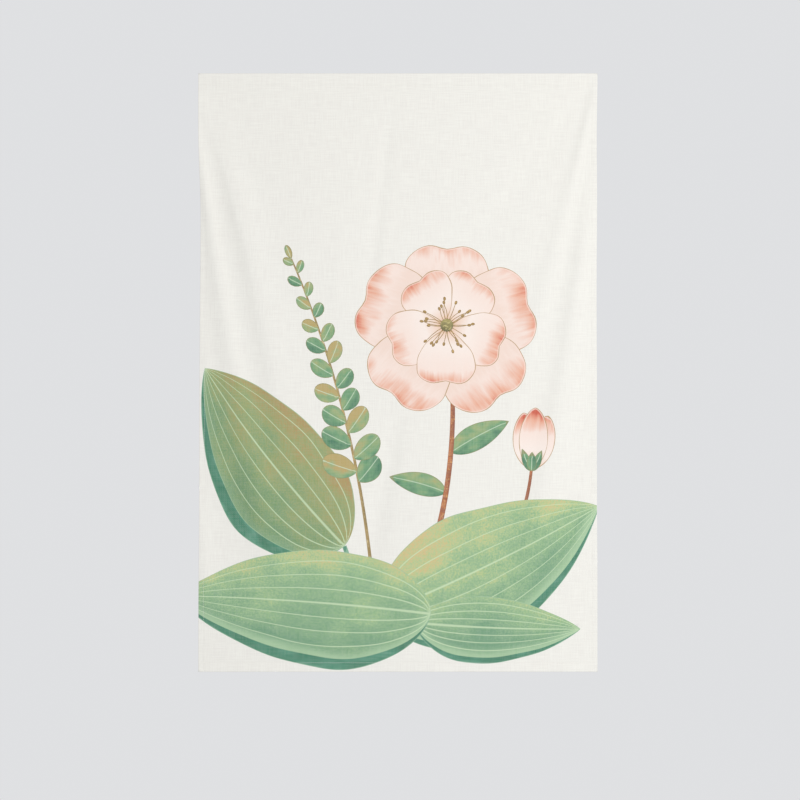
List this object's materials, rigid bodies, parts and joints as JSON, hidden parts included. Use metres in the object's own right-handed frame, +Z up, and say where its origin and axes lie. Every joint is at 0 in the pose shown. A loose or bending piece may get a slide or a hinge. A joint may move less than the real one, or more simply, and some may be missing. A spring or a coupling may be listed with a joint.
{
  "type": "doorway curtain panel",
  "caption": "Flat printed cloth panel with turned hems that hangs from its straight top edge in a doorway, with soft drag folds running down from the top corners.",
  "frame": {"origin": "middle of the straight top edge, which is held under a door head", "axes": "+Z up, the cloth hangs down along -Z; +X to the right as seen from the printed front; +Y to the back, so the front faces -Y"},
  "size_m": [0.8, 0.0148, 1.2],
  "materials": {
    "printed_cloth": "plain-woven off-white cotton and linen cloth with a matt botanical print in coral, blush, gold and sage green"
  },
  "bodies": {
    "root": {"curtain_panel": "printed_cloth"}
  },
  "joints": []
}
